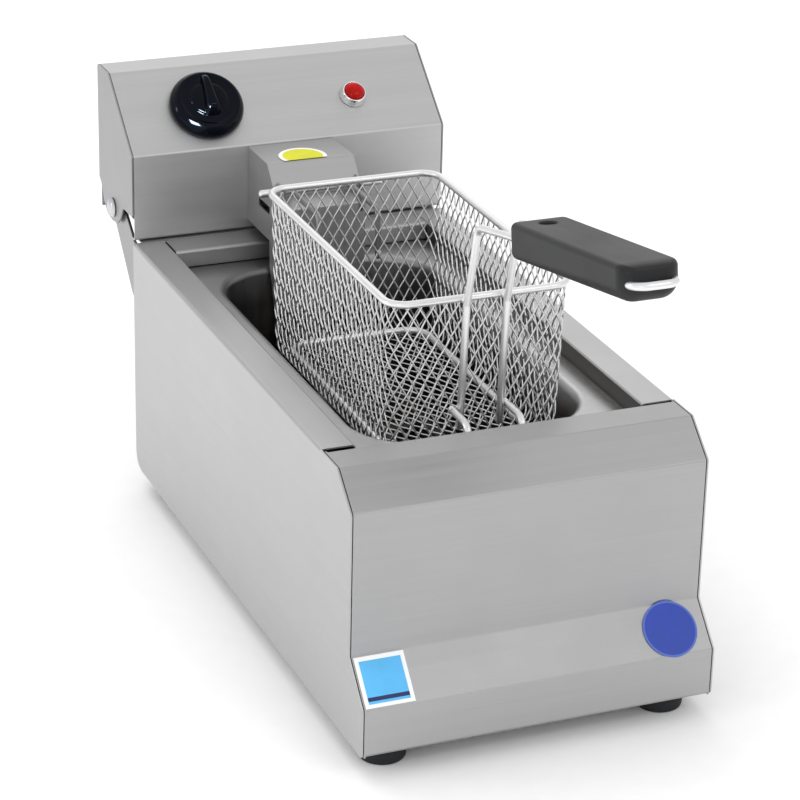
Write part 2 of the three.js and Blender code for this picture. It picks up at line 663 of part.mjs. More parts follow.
// ---- Knob
const knobGeometry = () => {
  const side = [[24, 1], [KNOB.radius, 1.6], [KNOB.radius, 3.2], [22.6, 9.2], [20.6, 10.8]];
  const skirt = lathe([[0, 1], ...side, [13, 11.4], [0, 12.6]], 36);
  const ridge = alongX(
    polygon([[-18.5, 8], [18.5, 8], [17.5, 15], [13.5, 18.5], [-13.5, 18.5], [-17.5, 15]]),
    -4.6,
    4.6,
  );
  return cut(join(skirt, ridge), rodZ(3.4, -1, 13, 0, 0, 16));
};
onSlant(add("thermostat_knob", knobGeometry(), KNOB_BLACK), KNOB.x, KNOB.along);
onSlant(add("knob_shaft", rodZ(3.1, -12.6, 12.6, 0, 0, 16), ZINC), KNOB.x, KNOB.along);

// ---- Basket
const basketOutline = (inset, radius) =>
  roundedRect(BASKET.half - inset, BASKET.front + inset, BASKET.rear - inset, radius).getPoints(5);
const MESH = { top: BASKET.rimZ - WIRE / 2 - 0.3, inset: 2, taper: 2.3, thick: 1.2, corner: 12, edge: 8 };
// The mesh as a closed tub: nearly upright walls that turn into the floor through a rounded edge.
const basketTub = (shrink, floor, top) => {
  const arc = [0, 30, 60, 90].map((degrees) => THREE.MathUtils.degToRad(degrees));
  const edge = MESH.edge - shrink;
  const low = MESH.inset + MESH.taper + shrink;
  const levels = arc.map((a) => [
    basketOutline(low + edge * (1 - Math.sin(a)), MESH.corner - shrink - (edge * (1 - Math.sin(a))) / 2),
    floor + edge * (1 - Math.cos(a)),
  ]);
  return stack([...levels, [basketOutline(MESH.inset + shrink, MESH.corner - shrink), top]]);
};
const basketMesh = () =>
  cut(
    basketTub(0, BASKET.floor, MESH.top),
    basketTub(MESH.thick, BASKET.floor + MESH.thick, MESH.top + 2),
  );
add("basket_mesh", basketMesh(), WIRE_STEEL);
const rim = wireRing(BASKET.half, BASKET.front, BASKET.rear, MESH.corner + MESH.inset, WIRE, BASKET.rimZ);
add("basket_rim", rim, WIRE_STEEL);
const RING = { inset: 10.6, corner: 16, z: BASKET.floor + MESH.thick + 3 };
const bottomRing = wireRing(
  BASKET.half - RING.inset,
  BASKET.front + RING.inset,
  BASKET.rear - RING.inset,
  RING.corner,
  WIRE,
  RING.z,
);
add("basket_bottom_ring", bottomRing, WIRE_STEEL);
// A point in the grip: across, forward from its rear end, and below its top.
const GRIP_TOP_Z = 296.7;
const inGrip = (x, forward, below) => {
  const a = THREE.MathUtils.degToRad(GRIP.rise);
  return [
    x,
    GRIP.start - forward * Math.cos(a) - below * Math.sin(a),
    GRIP_TOP_Z + forward * Math.sin(a) - below * Math.cos(a),
  ];
};
const HANDLE = { x: 12.5, loop: 12.5, diameter: 4.4 };
const handlePath = (() => {
  const half = (s) => [
    [s * HANDLE.x, 99.4, 146],
    [s * HANDLE.x, 94.6, 225],
    [s * HANDLE.x, 82, 276],
    inGrip(s * HANDLE.x, -8, GRIP.thick / 2),
    inGrip(s * HANDLE.loop, GRIP.length + 8 - HANDLE.diameter / 2, GRIP.thick / 2),
  ];
  return [...half(-1), ...half(1).reverse()];
})();
add("basket_handle_wire", wire(handlePath, HANDLE.diameter, 8), WIRE_STEEL);
const handleGrip = () => {
  const edge = 2.5;
  const outline = new THREE.Shape();
  const half = GRIP.width / 2 - edge;
  const tip = -GRIP.length + edge;
  outline.moveTo(-half + 4, -edge);
  outline.quadraticCurveTo(-half, -edge, -half, -edge - 4);
  outline.lineTo(-half, tip + 7);
  outline.quadraticCurveTo(-half + 1.5, tip + 1, 0, tip);
  outline.quadraticCurveTo(half - 1.5, tip + 1, half, tip + 7);
  outline.lineTo(half, -edge - 4);
  outline.quadraticCurveTo(half, -edge, half - 4, -edge);
  const body = new THREE.ExtrudeGeometry(outline, {
    depth: GRIP.thick - 2 * edge,
    bevelThickness: edge,
    bevelSize: edge,
    bevelSegments: 2,
    curveSegments: 5,
  }).translate(0, 0, -GRIP.thick + edge);
  const hanger = rodZ(4.6, -30, 10, 0, -16, 16);
  const placed = (g) =>
    g.rotateX(-THREE.MathUtils.degToRad(GRIP.rise)).translate(0, GRIP.start, GRIP_TOP_Z);
  const bore = wire(handlePath, HANDLE.diameter + 0.7, 8);
  return cut(placed(cut(body, hanger)), bore);
};
add("basket_grip", handleGrip(), BLACK_PLASTIC);
// Front hooks that stand on the pan's rim, and the rear bar that lies in the cover's notches.
const frontHook = () => wire([[17, 100.6, 158], [17, 76, 158], [17, 76, 148.3]], 4.4, 8);
addPair("basket_front_hook", frontHook(), WIRE_STEEL);
const rearHook = () => {
  const arm = (x) => wire([[x, 310, 172], [x, 311.4, BAR.z], [x, BAR.y, BAR.z]], 4, 5);
  return join(rodX(BAR.radius, -BAR.half, BAR.half, BAR.y, BAR.z, 12), arm(-20), arm(20));
};
add("basket_rear_bar", rearHook(), WIRE_STEEL);

export default fryer;
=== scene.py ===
# Deep fryer: materials, wires, wire mesh and small fittings over the CAD frame. Metres, +Z up.
import bpy
import bmesh
import math
from mathutils import Matrix, Vector


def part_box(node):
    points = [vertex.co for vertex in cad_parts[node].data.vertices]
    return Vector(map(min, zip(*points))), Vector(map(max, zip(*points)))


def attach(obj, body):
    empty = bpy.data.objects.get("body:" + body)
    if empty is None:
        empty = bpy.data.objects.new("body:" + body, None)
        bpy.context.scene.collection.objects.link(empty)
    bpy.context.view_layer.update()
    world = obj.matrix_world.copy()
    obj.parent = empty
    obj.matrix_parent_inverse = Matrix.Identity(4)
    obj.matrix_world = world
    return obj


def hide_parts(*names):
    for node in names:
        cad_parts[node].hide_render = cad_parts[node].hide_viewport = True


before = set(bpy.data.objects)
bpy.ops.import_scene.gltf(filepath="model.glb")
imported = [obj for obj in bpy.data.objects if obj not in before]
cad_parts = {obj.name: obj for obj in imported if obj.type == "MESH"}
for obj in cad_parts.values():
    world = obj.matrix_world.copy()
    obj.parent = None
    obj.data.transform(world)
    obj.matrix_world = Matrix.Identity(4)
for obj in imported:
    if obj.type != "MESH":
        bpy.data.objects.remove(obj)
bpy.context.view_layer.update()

MM = 0.001
# Part drawings are measured from the front skirt and the skirt's lower edge.
MIDDLE_Y = 199.05
FOOT_HEIGHT = 14.0


def at(x, y, z):
    """A point of the part drawings, in the row frame."""
    return Vector((x * MM, (y - MIDDLE_Y) * MM, (z + FOOT_HEIGHT) * MM))


def corners(points):
    return [at(*p) for p in points]


# ---- Camera
forward = Vector((0.35309, 0.84676, -0.39790)).normalized()
rolled_right = (Vector((0.92633, -0.37608, 0.02169))).normalized()
up = rolled_right.cross(forward).normalized()
camera_data = bpy.data.cameras.new("camera")
camera = bpy.data.objects.new("camera", camera_data)
bpy.context.scene.collection.objects.link(camera)
turn = Matrix((rolled_right, up, -forward)).transposed().to_4x4()
camera.matrix_world = Matrix.Translation(at(-646.9, -1331.5, 842.0)) @ turn
camera_data.lens = 133.0
camera_data.sensor_width = 36.0
bpy.context.scene.camera = camera


# ---- Node materials
class Nodes:
    """A small helper for one material's node tree."""

    def __init__(self, name):
        self.material = bpy.data.materials.new(name)
        self.material.use_nodes = True
        self.tree = self.material.node_tree
        self.shader = self.tree.nodes["Principled BSDF"]
        self.coordinates = self.tree.nodes.new("ShaderNodeTexCoord").outputs["Object"]

    def node(self, kind, settings=None, inputs=None):
        n = self.tree.nodes.new(kind)
        for key, value in (settings or {}).items():
            setattr(n, key, value)
        for key, value in (inputs or {}).items():
            if isinstance(value, bpy.types.NodeSocket):
                self.tree.links.new(value, n.inputs[key])
            else:
                n.inputs[key].default_value = value
        return n

    def stretched(self, scale, location=(0, 0, 0)):
        n = self.node("ShaderNodeMapping", inputs={"Vector": self.coordinates})
        n.inputs["Scale"].default_value = scale
        n.inputs["Location"].default_value = location
        return n.outputs["Vector"]

    def noise(self, vector, scale, detail=3.0, roughness=0.55):
        inputs = {"Vector": vector, "Scale": scale, "Detail": detail, "Roughness": roughness}
        return self.node("ShaderNodeTexNoise", inputs=inputs).outputs["Fac"]

    def remap(self, value, low, high, to_low, to_high):
        inputs = {"Value": value, "From Min": low, "From Max": high, "To Min": to_low, "To Max": to_high}
        return self.node("ShaderNodeMapRange", inputs=inputs).outputs["Result"]

    def math(self, operation, a, b=0.0):
        n = self.node("ShaderNodeMath", {"operation": operation})
        for socket, value in ((n.inputs[0], a), (n.inputs[1], b)):
            if isinstance(value, bpy.types.NodeSocket):
                self.tree.links.new(value, socket)
            else:
                socket.default_value = value
        return n.outputs[0]

    def ramp(self, value, stops):
        n = self.node("ShaderNodeValToRGB", inputs={"Fac": value})
        elements = n.color_ramp.elements
        elements[0].position, elements[0].color = stops[0][0], (*stops[0][1], 1)
        elements[1].position, elements[1].color = stops[1][0], (*stops[1][1], 1)
        for position, colour in stops[2:]:
            elements.new(position).color = (*colour, 1)
        return n.outputs["Color"]

    def mix(self, factor, first, second):
        """The first colour, turning to the fixed second colour as the factor rises."""
        n = self.node("ShaderNodeMix", {"data_type": "RGBA"}, {"Factor": factor})
        self.tree.links.new(first, n.inputs[6])
        n.inputs[7].default_value = (*second, 1)
        return n.outputs[2]

    def axes(self, vector=None):
        """A vector's X, Y and Z; the surface's own place if none is given."""
        source = self.coordinates if vector is None else vector
        return self.node("ShaderNodeSeparateXYZ", inputs={0: source}).outputs

    def bump(self, height, strength, distance):
        inputs = {"Height": height, "Strength": strength, "Distance": distance}
        return self.node("ShaderNodeBump", inputs=inputs).outputs["Normal"]

    def set(self, **values):
        for key, value in values.items():
            socket = self.shader.inputs[key.replace("_", " ")]
            if isinstance(value, bpy.types.NodeSocket):
                self.tree.links.new(value, socket)
            elif hasattr(socket.default_value, "__len__") and not hasattr(value, "__len__"):
                socket.default_value = (value,) * len(socket.default_value)
            else:
                socket.default_value = (*value, 1) if hasattr(value, "__len__") and len(value) == 3 else value
        return self.material


GRAIN_CONTRAST = 0.05
GRAIN_BUMP = 0.25


def brushed(name, grain, base, rough, seed=0.0, inner=None):
    """Satin stainless sheet: grain along one axis, faint mottling, and painted shade on the well's inner fall
    if asked.
    """
    m = Nodes(name)
    long_axis = [900.0, 900.0, 900.0]
    long_axis["XYZ".index(grain)] = 9.0
    lines = m.noise(m.stretched(long_axis, location=(seed, seed, seed)), 1.0, 2.0, 0.6)
    coarse_axis = [160.0, 160.0, 160.0]
    coarse_axis["XYZ".index(grain)] = 2.5
    coarse = m.noise(m.stretched(coarse_axis, location=(seed + 3, seed, seed)), 1.0, 2.0)
    cloud = m.noise(m.coordinates, 7.0, 3.0)
    smudge = m.noise(m.stretched((1, 1, 1), location=(5 + seed, 2, 1)), 23.0, 4.0, 0.6)
    tone = m.math("ADD", m.math("MULTIPLY", lines, 0.55), m.math("MULTIPLY", coarse, 0.45))
    dark = tuple(c * (1 - GRAIN_CONTRAST) for c in base)
    light = tuple(min(c * (1 + GRAIN_CONTRAST), 1.0) for c in base)
    colour = m.ramp(tone, [(0.3, dark), (0.7, light)])
    # Painted shade: the well's inner fall, near the middle and below its top, is coloured dark.
    if inner:
        axes = m.axes()
        inside = m.math("LESS_THAN", m.math("ABSOLUTE", axes["X"]), inner["half"])
        below = m.math("LESS_THAN", axes["Z"], inner["top"])
        colour = m.mix(m.math("MULTIPLY", inside, below), colour, inner["colour"])
    grain_rough = m.remap(tone, 0.3, 0.7, rough - 0.04, rough + 0.05)
    soiled = m.remap(smudge, 0.35, 0.75, 0.0, 0.05)
    roughness = m.math("ADD", m.math("ADD", grain_rough, soiled), m.remap(cloud, 0.3, 0.7, -0.02, 0.02))
    height = m.math("ADD", tone, m.math("MULTIPLY", cloud, 0.12))
    normal = m.bump(height, GRAIN_BUMP, 0.00006)
    return m.set(Base_Color=colour, Metallic=1.0, Roughness=roughness, Normal=normal)


# Painted shade for the pan: dark colour deep inside and on the rear rim under the head, standing in for shade
# and dark reflections.
PAINTED_PAN_SHADE = {"colour": (0.045, 0.044, 0.045), "from_z": 0.158, "full_z": 0.118, "most": 0.82}
HEAD_SHADE = {"from_y": 0.168, "full_y": 0.192, "most": 0.72}


def drawn(name, base, rough, dimple=0.12):
    """Deep-drawn stainless: soft orange peel, faint draw lines, and painted shade that darkens the inside
    with depth and the rear rim under the head.
    """
    m = Nodes(name)
    peel = m.noise(m.coordinates, 420.0, 3.0)
    draw = m.noise(m.stretched((260, 260, 9)), 1.0, 2.0)
    cloud = m.noise(m.coordinates, 11.0, 3.0)
    unshaded = m.ramp(cloud, [(0.3, tuple(c * 0.94 for c in base)), (0.75, base)])
    axes = m.axes()
    wavy_z = m.math("ADD", axes["Z"], m.remap(cloud, 0.3, 0.7, -0.006, 0.006))
    # Painted shade: darker with depth, and darker towards the rear under the head.
    sunk = m.remap(wavy_z, PAINTED_PAN_SHADE["from_z"], PAINTED_PAN_SHADE["full_z"], 0.0, PAINTED_PAN_SHADE["most"])
    shaded = m.remap(axes["Y"], HEAD_SHADE["from_y"], HEAD_SHADE["full_y"], 0.0, HEAD_SHADE["most"])
    colour = m.mix(m.math("MAXIMUM", sunk, shaded), unshaded, PAINTED_PAN_SHADE["colour"])
    lined = m.remap(draw, 0.3, 0.7, rough - 0.04, rough + 0.05)
    roughness = m.math("ADD", lined, m.remap(cloud, 0.3, 0.7, -0.02, 0.04))
    height = m.math("ADD", m.math("MULTIPLY", peel, 0.4), m.math("MULTIPLY", draw, 0.6))
    return m.set(Base_Color=colour, Metallic=1.0, Roughness=roughness, Normal=m.bump(height, dimple, 0.0001))


def plated(name, base, rough, spots=0.06):
    """Bright nickel on drawn wire: tiny pits and slightly duller patches."""
    m = Nodes(name)
    pits = m.noise(m.coordinates, 1700.0, 2.0)
    patch = m.noise(m.coordinates, 60.0, 4.0)
    colour = m.ramp(patch, [(0.3, tuple(c * (1 - spots) for c in base)), (0.7, base)])
    dulled = m.remap(patch, 0.3, 0.7, rough - 0.03, rough + 0.06)
    roughness = m.math("ADD", dulled, m.remap(pits, 0.4, 0.7, 0, 0.04))
    return m.set(Base_Color=colour, Metallic=1.0, Roughness=roughness, Normal=m.bump(pits, 0.15, 0.00005))


def moulded(name, base, rough, texture=0.25, scale=1400.0, specular=0.5, tint=(1, 1, 1)):
    """Moulded plastic: fine spark-eroded texture and faint flow variation."""
    m = Nodes(name)
    fine = m.noise(m.coordinates, scale, 3.0)
    flow = m.noise(m.stretched((1, 0.4, 1)), 38.0, 3.0)
    colour = m.ramp(flow, [(0.3, tuple(c * 0.86 for c in base)), (0.7, tuple(min(c * 1.1, 1) for c in base))])
    flowed = m.remap(flow, 0.3, 0.7, rough - 0.04, rough + 0.05)
    roughness = m.math("ADD", flowed, m.remap(fine, 0.3, 0.7, -0.02, 0.03))
    return m.set(
        Base_Color=colour, Roughness=roughness, Normal=m.bump(fine, texture, 0.00008),
        Specular_IOR_Level=specular, Specular_Tint=tint,
    )


def heat_tinted(name, base, rough):
    """An element's sheath: dark scale with straw and blue tints and baked-on spots."""
    m = Nodes(name)
    patch = m.noise(m.coordinates, 45.0, 5.0, 0.6)
    spots = m.noise(m.coordinates, 420.0, 4.0, 0.65)
    tints = [(0.25, (0.10, 0.075, 0.06)), (0.5, base), (0.62, (0.16, 0.12, 0.09)), (0.8, (0.11, 0.12, 0.15))]
    scaled = m.remap(patch, 0.3, 0.7, rough - 0.08, rough + 0.1)
    roughness = m.math("ADD", scaled, m.remap(spots, 0.45, 0.7, 0, 0.15))
    return m.set(
        Base_Color=m.ramp(patch, tints), Metallic=0.9, Roughness=roughness,
        Normal=m.bump(spots, 0.3, 0.00012),
    )


def film_sticker(name, field, border, centre, half, band=None, round_edge=False):
    """A printed film sticker: a plain field inside a plain border, and no lettering."""
    m = Nodes(name)
    place = m.node("ShaderNodeVectorMath", {"operation": "SUBTRACT"}, {0: m.coordinates})
    place.inputs[1].default_value = centre["at"]
    axes = m.axes(place.outputs[0])
    across = axes["X"]
    along = m.math("DIVIDE", axes[centre["axis"]], centre["slope"])
    if round_edge:
        squares = m.math("ADD", m.math("MULTIPLY", across, across), m.math("MULTIPLY", along, along))
        distance = m.math("SQRT", squares)
    else:
        distance = m.math("MAXIMUM", m.math("ABSOLUTE", across), m.math("ABSOLUTE", along))
    outside = m.math("GREATER_THAN", distance, half)
    fibre = m.noise(m.coordinates, 900.0, 3.0)
    fade = m.noise(m.coordinates, 55.0, 3.0)
    ink = m.ramp(fade, [(0.3, tuple(c * 0.9 for c in field)), (0.7, tuple(min(c * 1.08, 1) for c in field))])
    if band:
        from_band = m.math("ABSOLUTE", m.math("ADD", along, band["offset"]))
        ink = m.mix(m.math("LESS_THAN", from_band, band["half"]), ink, band["colour"])
    colour = m.mix(outside, ink, border)
    roughness = m.remap(fade, 0.3, 0.7, 0.36, 0.48)
    return m.set(
        Base_Color=colour, Roughness=roughness, Normal=m.bump(fibre, 0.08, 0.00004), Specular_IOR_Level=0.3,
    )


# One stainless steel in several base tones, partly as painted light: the head shell is painted lighter than
# the body's panels, and the front, rear and bottom plates a little darker than the side panels.
STEEL_BASE = (0.45, 0.45, 0.452)
PANEL_X = brushed("steel_grain_x", "X", STEEL_BASE, 0.46)
# Painted shade on the well's inner fall, below the flange tops.
PAINTED_WELL_SHADE = {"half": 0.0889, "top": 0.1735, "colour": (0.17, 0.165, 0.16)}
PANEL_Y = brushed("steel_grain_y", "Y", (0.51, 0.51, 0.512), 0.42, seed=4.0, inner=PAINTED_WELL_SHADE)
HEAD_X = brushed("steel_head", "X", (0.57, 0.57, 0.572), 0.50, seed=9.0)
HEAD_SIDE = brushed("steel_head_side", "Z", (0.37, 0.37, 0.372), 0.42, seed=14.0)
PAN_METAL = drawn("steel_pan", (0.53, 0.53, 0.53), 0.36, dimple=0.05)
WIRE_METAL = plated("nickel_wire", (0.88, 0.88, 0.88), 0.36)
MESH_METAL = plated("nickel_mesh", (0.76, 0.76, 0.76), 0.30, spots=0.1)
# Painted shade: the rear arms are the same nickel wire as the bar, coloured darker.
SHADED_ARM_WIRE = plated("arm_wire_painted_shade", (0.34, 0.34, 0.34), 0.42, spots=0.12)
ELEMENT_METAL = heat_tinted("element_sheath", (0.13, 0.11, 0.10), 0.42)
ZINC_METAL = plated("zinc_plate", (0.62, 0.64, 0.66), 0.32, spots=0.12)
COPPER_METAL = plated("copper_tube", (0.72, 0.34, 0.19), 0.28, spots=0.25)
GRIP_PLASTIC = moulded("phenolic_grip", (0.0185, 0.019, 0.0205), 0.40, 0.3, 1500.0, specular=0.24)
KNOB_PLASTIC = moulded(
    "knob_black", (0.0003, 0.0003, 0.0007), 0.07, 0.01, 700.0, specular=0.13, tint=(0.66, 0.82, 1.0),
)
LAMP_CHROME = plated("lamp_chrome", (0.9, 0.9, 0.9), 0.08)
BLACK_NYLON = moulded("gland_black", (0.015, 0.016, 0.017), 0.45, 0.25, 1100.0)
GREY_NYLON = moulded("nylon_grey", (0.045, 0.05, 0.055), 0.5, 0.3, 1100.0)
FOOT_RUBBER = moulded("foot_rubber", (0.014, 0.015, 0.017), 0.72, 0.5, 800.0, specular=0.35)
WHITE_CERAMIC = moulded("terminal_ceramic", (0.76, 0.72, 0.64), 0.3, 0.15, 500.0)
RED_PLASTIC = moulded("button_red", (0.5, 0.012, 0.008), 0.3, 0.1, 900.0)


def lens_material():
    m = Nodes("lamp_lens_red")
    flutes = m.noise(m.coordinates, 900.0, 2.0)
    depth = m.noise(m.coordinates, 160.0, 2.0)
    colour = m.ramp(depth, [(0.3, (0.24, 0.002, 0.001)), (0.7, (0.42, 0.004, 0.002))])
    roughness = m.remap(flutes, 0.3, 0.7, 0.06, 0.12)
    return m.set(
        Base_Color=colour, Roughness=roughness, Specular_IOR_Level=0.16,
        Emission_Color=(0.8, 0.004, 0.002), Emission_Strength=0.08, Normal=m.bump(flutes, 0.05, 0.00005),
    )


RED_LENS = lens_material()


# ---- Mesh helpers
def outward(mesh):
    """Turn every face of a closed mesh to look out."""
    b = bmesh.new()
    b.from_mesh(mesh)
    bmesh.ops.recalc_face_normals(b, faces=b.faces)
    b.to_mesh(mesh)
    b.free()


def new_object(name, body, material, geometry):
    mesh = bpy.data.meshes.new(name)
    verts, faces = geometry
    mesh.from_pydata(verts, [], faces)
    mesh.validate()
    outward(mesh)
    mesh.materials.append(material)
    mesh.polygons.foreach_set("use_smooth", [True] * len(mesh.polygons))
    obj = bpy.data.objects.new(name, mesh)
    bpy.context.scene.collection.objects.link(obj)
    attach(obj, body)
    return obj


def rounded(points, radius, steps=8):
    """A polyline with its inner corners rounded to one radius."""
    out = [points[0]]
    for before, corner, after in zip(points, points[1:], points[2:]):
        back = (before - corner).normalized()
        on = (after - corner).normalized()
        half = back.angle(on) / 2
        run = radius / math.tan(half)
        centre = corner + (back + on).normalized() * (radius / math.sin(half))
        start = corner + back * run - centre
        end = corner + on * run - centre
        sweep = math.pi - 2 * half
        for k in range(steps + 1):
            a = sweep * k / steps
            out.append(centre + (start * math.sin(sweep - a) + end * math.sin(a)) / math.sin(sweep))
    out.append(points[-1])
    return out


DOME = ((0.0, 0.3), (0.1, 0.62), (0.3, 0.88))


def pipe(path, radius, sides=14, closed=False, domed=True):
    """Vertices and faces of a round wire along a path, its ends domed."""
    path = list(path)
    count = len(path)
    tangents = []
    for i in range(count):
        before = path[i - 1] if closed or i else path[i]
        after = path[(i + 1) % count] if closed or i + 1 < count else path[i]
        tangents.append((after - before).normalized())
    stations = [(p, t, radius) for p, t in zip(path, tangents)]
    if domed and not closed:
        start, end = tangents[0], tangents[-1]
        stations[0] = (path[0] + start * radius * 0.7, start, radius)
        stations[-1] = (path[-1] - end * radius * 0.7, end, radius)
        stations = (
            [(path[0] + start * radius * d, start, radius * r) for d, r in DOME]
            + stations
            + [(path[-1] - end * radius * d, end, radius * r) for d, r in reversed(DOME)]
        )
    verts, faces = [], []
    side = stations[0][1].orthogonal().normalized()
    for centre, tangent, r in stations:
        side = (side - tangent * side.dot(tangent)).normalized()
        other = tangent.cross(side)
        for k in range(sides):
            a = 2 * math.pi * k / sides
            verts.append(centre + side * (r * math.cos(a)) + other * (r * math.sin(a)))
    spans = [(i, i + 1) for i in range(len(stations) - 1)]
    if closed:
        spans.append((len(stations) - 1, 0))
    for a, b in spans:
        for k in range(sides):
            n = (k + 1) % sides
            faces.append((a * sides + k, a * sides + n, b * sides + n, b * sides + k))
    if not closed:
        last = (len(stations) - 1) * sides
        faces.append(tuple(reversed(range(sides))))
        faces.append(tuple(last + k for k in range(sides)))
    return verts, faces


def merged(parts):
    verts, faces = [], []
    for v, f in parts:
        base = len(verts)
        verts.extend(v)
        faces.extend(tuple(base + i for i in face) for face in f)
    return verts, faces


def wire(name, body, material, parts, nodes):
    obj = new_object(name, body, material, merged(parts))
    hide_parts(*nodes)


def ring_points(half, y0, y1, radius, z, steps=12):
    """A rounded rectangle in plan, from the part drawings' millimetres."""
    out = []
    for cx, cy, first in (
        (half - radius, y1 - radius, 0),
        (-half + radius, y1 - radius, 90),
        (-half + radius, y0 + radius, 180),
        (half - radius, y0 + radius, 270),
    ):
        for k in range(steps + 1):
            a = math.radians(first + 90 * k / steps)
            out.append(at(cx + radius * math.cos(a), cy + radius * math.sin(a), z))
    return out


def loft(rings):
    """Rings of equal count joined in order, with both ends closed."""
    count = len(rings[0])
    verts = [p for ring in rings for p in ring]
    faces = []
    for level in range(len(rings) - 1):
        a, b = level * count, (level + 1) * count
        for k in range(count):
            n = (k + 1) % count
            faces.append((a + k, a + n, b + n, b + k))
    faces.append(tuple(reversed(range(count))))
    faces.append(tuple((len(rings) - 1) * count + k for k in range(count)))
    return verts, faces


def turned(profile, place, segments=64):
    """A profile of (radius, height) in mm turned about its axis and put in place by a matrix."""
    verts, faces = [], []
    rows = []
    for r, h in profile:
        if r < 1e-6:
            rows.append([len(verts)])
            verts.append(place @ Vector((0, 0, h * MM)))
            continue
        rows.append([len(verts) + k for k in range(segments)])
        for k in range(segments):
            a = 2 * math.pi * k / segments
            verts.append(place @ Vector((r * MM * math.cos(a), r * MM * math.sin(a), h * MM)))
    for low, high in zip(rows, rows[1:]):
        for k in range(segments):
            n = (k + 1) % segments
            quad = [low[k % len(low)], low[n % len(low)], high[n % len(high)], high[k % len(high)]]
            face = tuple(dict.fromkeys(quad))
            if len(face) > 2:
                faces.append(face)
    return verts, faces


def smooth_step(low, high, value):
    t = min(max((value - low) / (high - low), 0.0), 1.0)
    return t * t * (3 - 2 * t)


def soften(obj, width, angle=38.0, segments=2):
    """Small rounded edges on a folded or cut piece, with even shading on its flats."""
    obj.data.polygons.foreach_set("use_smooth", [True] * len(obj.data.polygons))
    weld = obj.modifiers.new("weld", "WELD")
    weld.merge_threshold = 0.00001
    bevel = obj.modifiers.new("edge", "BEVEL")
    bevel.width = width
    bevel.segments = segments
    bevel.limit_method = "ANGLE"
    bevel.angle_limit = math.radians(angle)
    bevel.miter_outer = "MITER_ARC"
    shade = obj.modifiers.new("shade", "WEIGHTED_NORMAL")
    shade.weight = 80
    shade.keep_sharp = False


def dress(node, material, width=0.00025):
    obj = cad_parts[node]
    obj.data.materials.clear()
    obj.data.materials.append(material)
    soften(obj, width)


# ---- Folded panels and other pieces whose CAD shape is right
for node in ("front_panel", "bottom_plate", "rear_panel", "element_cover", "head_bottom_plate"):
    dress(node, PANEL_X)
for node in ("side_panel_left", "side_panel_right"):
    dress(node, PANEL_Y, 0.0003)
dress("head_shell", HEAD_X, 0.0005)
for hand in ("left", "right"):
    dress(f"head_side_{hand}", HEAD_SIDE, 0.0003)
    dress(f"pivot_bracket_{hand}", HEAD_SIDE, 0.0003)
    dress(f"pivot_nut_{hand}", ZINC_METAL, 0.0003)
    for i in (1, 2):
        dress(f"bracket_screw_{hand}_{i}", ZINC_METAL, 0.0002)
    for end in ("front", "rear"):
        dress(f"foot_screw_{end}_{hand}", ZINC_METAL, 0.0002)
for node in ("element_rest_1", "element_rest_2"):
    dress(node, ELEMENT_METAL, 0.0003)
dress("element_flange", ZINC_METAL, 0.0003)
for node in ("thermostat", "cutout_thermostat"):
    dress(node, GREY_NYLON, 0.0006)
dress("lamp_body", BLACK_NYLON, 0.0004)
dress("knob_shaft", ZINC_METAL, 0.0003)
dress("terminal_block", WHITE_CERAMIC, 0.0006)


# ---- Blank stickers
def box_middle(node):
    low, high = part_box(node)
    return (low + high) / 2


FLARE = math.hypot(22, 23)
FLARE_PLACE = {"axis": "Z", "slope": 23 / FLARE}
round_place = {"at": box_middle("round_sticker"), **FLARE_PLACE}
square_place = {"at": box_middle("square_sticker"), **FLARE_PLACE}
cover_place = {"at": at(-2.8, 388, 218.4), "axis": "Y", "slope": 1.0}
square_band = {"offset": 0.0098, "half": 0.0012, "colour": (0.02, 0.03, 0.12)}
BLUE_FILM = film_sticker(
    "sticker_blue", (0.03, 0.065, 0.40), (0.10, 0.16, 0.5), round_place, 0.0158, round_edge=True,
)
SKY_FILM = film_sticker(
    "sticker_sky", (0.11, 0.49, 0.88), (0.9, 0.91, 0.92), square_place, 0.0126, band=square_band,
)
YELLOW_FILM = film_sticker(
    "sticker_yellow", (0.60, 0.59, 0.008), (0.8, 0.8, 0.78), cover_place, 0.0134, round_edge=True,
)
STICKERS = {"round_sticker": BLUE_FILM, "square_sticker": SKY_FILM, "cover_sticker": YELLOW_FILM}
for node, film in STICKERS.items():
    dress(node, film, 0.00008)

# ---- Oil pan: deep drawn, with a rounded floor edge and lip
PAN = {"half": 72.0, "front": 85.0, "rear": 378.0, "corner": 42.0}
PAN_FLOOR = 48.0
PAN_BEND = 14  # radius from the floor into the wall
PAN_WALL = 81
PAN_FOOT = 4  # how far the wall's foot stands in, of which the draft takes up most
PAN_DRAFT = 3
PAN_LIP = 5  # radius from the wall out to the rim


def pan_ring(inset, z):
    front, rear = PAN["front"] + inset, PAN["rear"] - inset
    return ring_points(PAN["half"] - inset, front, rear, PAN["corner"] - inset, z, 14)


def pan_rings(skin):
    """The pan's sections from its floor up to its rim, set out by the metal's thickness."""
    rings = []
    for k in range(8):
        a = math.radians(90 * k / 7)
        inset = PAN_BEND + PAN_FOOT - PAN_BEND * math.sin(a)
        rings.append(pan_ring(inset - skin, PAN_FLOOR - skin + PAN_BEND * (1 - math.cos(a))))
    for k in range(1, 5):
        rings.append(pan_ring(PAN_FOOT - PAN_DRAFT * k / 4 - skin, PAN_FLOOR + PAN_BEND + PAN_WALL * k / 4))
    for k in range(1, 6):
        a = math.radians(90 * k / 5)
        r = PAN_LIP - skin
        inset = PAN_FOOT - PAN_DRAFT - PAN_LIP
        rings.append(pan_ring(inset + r * math.cos(a), PAN_FLOOR + PAN_BEND + PAN_WALL + r * math.sin(a)))
    return rings


